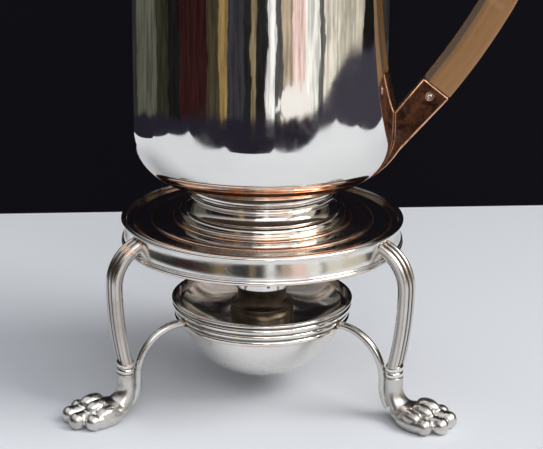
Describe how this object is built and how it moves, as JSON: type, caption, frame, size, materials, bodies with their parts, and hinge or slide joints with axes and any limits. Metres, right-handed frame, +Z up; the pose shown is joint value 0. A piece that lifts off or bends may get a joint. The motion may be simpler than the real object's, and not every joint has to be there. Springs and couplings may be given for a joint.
{
  "type": "coffee pot on a spirit lamp stand",
  "caption": "Silver-plated coffee pot with a fruitwood side handle, hinged lid and short spout, on a paw-footed stand with a spirit lamp.",
  "frame": {"origin": "on the pot's upright axis, at table level", "axes": "+Z up, +X towards the handle, -X towards the spout"},
  "size_m": [0.1969, 0.1518, 0.3011],
  "materials": {
    "silver_plate": "polished old silver plate, thin at the edges",
    "worn_copper": "copper where the plate has worn off, tarnished",
    "burner_bronze": "heat-browned metal",
    "fruitwood": "satin fruitwood",
    "wick_cotton": "plaited cotton"
  },
  "bodies": {
    "stand": {"stand_plate": "silver_plate", "stand_apron": "silver_plate", "stand_rim_wire": "silver_plate", "stand_lower_wire": "silver_plate", "leg_right": "silver_plate", "collar_right": "silver_plate", "paw_right": "silver_plate", "strut_right": "silver_plate", "leg_rear": "silver_plate", "collar_rear": "silver_plate", "paw_rear": "silver_plate", "strut_rear": "silver_plate", "leg_left": "silver_plate", "collar_left": "silver_plate", "paw_left": "silver_plate", "strut_left": "silver_plate", "lamp_ring": "silver_plate"},
    "lamp": {"lamp_bowl": "silver_plate", "lamp_rim": "silver_plate", "lamp_top": "silver_plate", "burner_neck": "burner_bronze", "burner_gallery": "silver_plate", "wick_tube": "burner_bronze", "wick": "wick_cotton"},
    "snuffer": {"snuffer_cap": "silver_plate", "snuffer_knob": "silver_plate"},
    "pot": {"pot_body": "silver_plate", "pot_bottom": "silver_plate", "pot_foot": "silver_plate", "foot_wire": "silver_plate", "pot_rim_wire": "silver_plate", "spout": "silver_plate", "socket_lower": "worn_copper", "socket_upper": "worn_copper", "handle_grip": "fruitwood", "socket_pin_lower": "silver_plate", "socket_pin_upper": "silver_plate", "hinge_bracket": "silver_plate", "hinge_pin": "silver_plate"},
    "lid": {"lid_dome": "silver_plate", "lid_bezel": "silver_plate", "lid_hinge_leaf": "silver_plate", "finial_plate": "silver_plate", "finial_knob": "fruitwood", "finial_stud": "silver_plate", "finial_nut": "silver_plate"}
  },
  "joints": [
    {"name": "pot_lift", "type": "slide", "parent": "stand", "child": "pot", "axis": [0, 0, 1], "range_m": [0, 0.15]},
    {"name": "lid_hinge", "type": "hinge", "parent": "pot", "child": "lid", "pos_m": [0.06, 0, 0.2599], "axis": [0, 1, 0], "range_deg": [0, 100]},
    {"name": "lamp_lift", "type": "slide", "parent": "stand", "child": "lamp", "axis": [0, 0, 1], "range_m": [0, 0.012]},
    {"name": "snuffer_lift", "type": "slide", "parent": "lamp", "child": "snuffer", "axis": [0, 0, 1], "range_m": [0, 0.013]}
  ]
}
